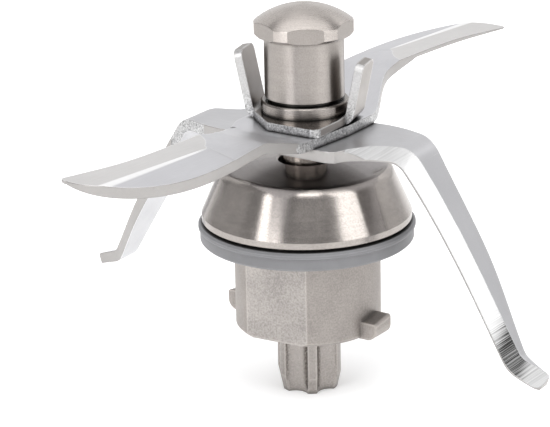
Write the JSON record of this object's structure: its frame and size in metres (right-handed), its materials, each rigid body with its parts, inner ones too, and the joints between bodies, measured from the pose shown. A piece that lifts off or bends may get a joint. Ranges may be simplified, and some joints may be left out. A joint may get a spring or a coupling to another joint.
{
  "type": "blender blade assembly",
  "caption": "Spindle in a bayonet body with a bell cover and gasket, carrying a sickle blade, a drop-arm blade and an eared plate under a hexagon cap nut.",
  "frame": {"origin": "spindle axis at the foot of the drive coupling, which is the lowest point of the part", "axes": "+Z along the spindle from the drive coupling to the cap nut; +X to the right and -Y to the viewer in the reference picture"},
  "size_m": [0.0782, 0.0964, 0.07],
  "materials": {
    "turned_steel": "turned stainless steel with fine tool rings",
    "bell_steel": "lathe-brushed stainless steel",
    "sheet_steel": "satin stainless sheet with bright ground edges",
    "cast_steel": "fine sand-cast stainless steel",
    "bearing_steel": "ground bearing steel",
    "cage_steel": "pressed steel",
    "spring_steel": "dark spring steel",
    "silicone": "matt grey silicone rubber",
    "seal_rubber": "black nitrile rubber"
  },
  "bodies": {
    "housing": {"bearing_housing": "cast_steel", "bell_cover": "bell_steel", "gasket": "silicone", "cover_o_ring": "seal_rubber", "shaft_seal": "seal_rubber", "seal_spring": "spring_steel", "retaining_ring": "spring_steel", "upper_bearing_outer_ring": "bearing_steel", "lower_bearing_outer_ring": "bearing_steel"},
    "rotor": {"spindle": "turned_steel", "drive_coupling": "cast_steel", "lower_blade": "sheet_steel", "upper_blade": "sheet_steel", "ear_plate": "sheet_steel", "clamp_ring": "turned_steel", "cap_nut": "turned_steel", "inner_spacer": "turned_steel", "upper_bearing_inner_ring": "bearing_steel", "lower_bearing_inner_ring": "bearing_steel"},
    "upper_ball_train": {"upper_bearing_cage": "cage_steel", "upper_bearing_balls": "bearing_steel"},
    "lower_ball_train": {"lower_bearing_cage": "cage_steel", "lower_bearing_balls": "bearing_steel"}
  },
  "joints": [
    {"name": "blade_spin", "type": "hinge", "parent": "housing", "child": "rotor", "pos_m": [0, 0, 0.033], "axis": [0, 0, 1], "continuous": true},
    {"name": "upper_ball_roll", "type": "hinge", "parent": "housing", "child": "upper_ball_train", "pos_m": [0, 0, 0.03347], "axis": [0, 0, 1], "continuous": true},
    {"name": "lower_ball_roll", "type": "hinge", "parent": "housing", "child": "lower_ball_train", "pos_m": [0, 0, 0.017], "axis": [0, 0, 1], "continuous": true}
  ],
  "couplings": [
    {"joint": "upper_ball_roll", "follows": "blade_spin", "ratio": 0.3477},
    {"joint": "lower_ball_roll", "follows": "blade_spin", "ratio": 0.3477}
  ]
}
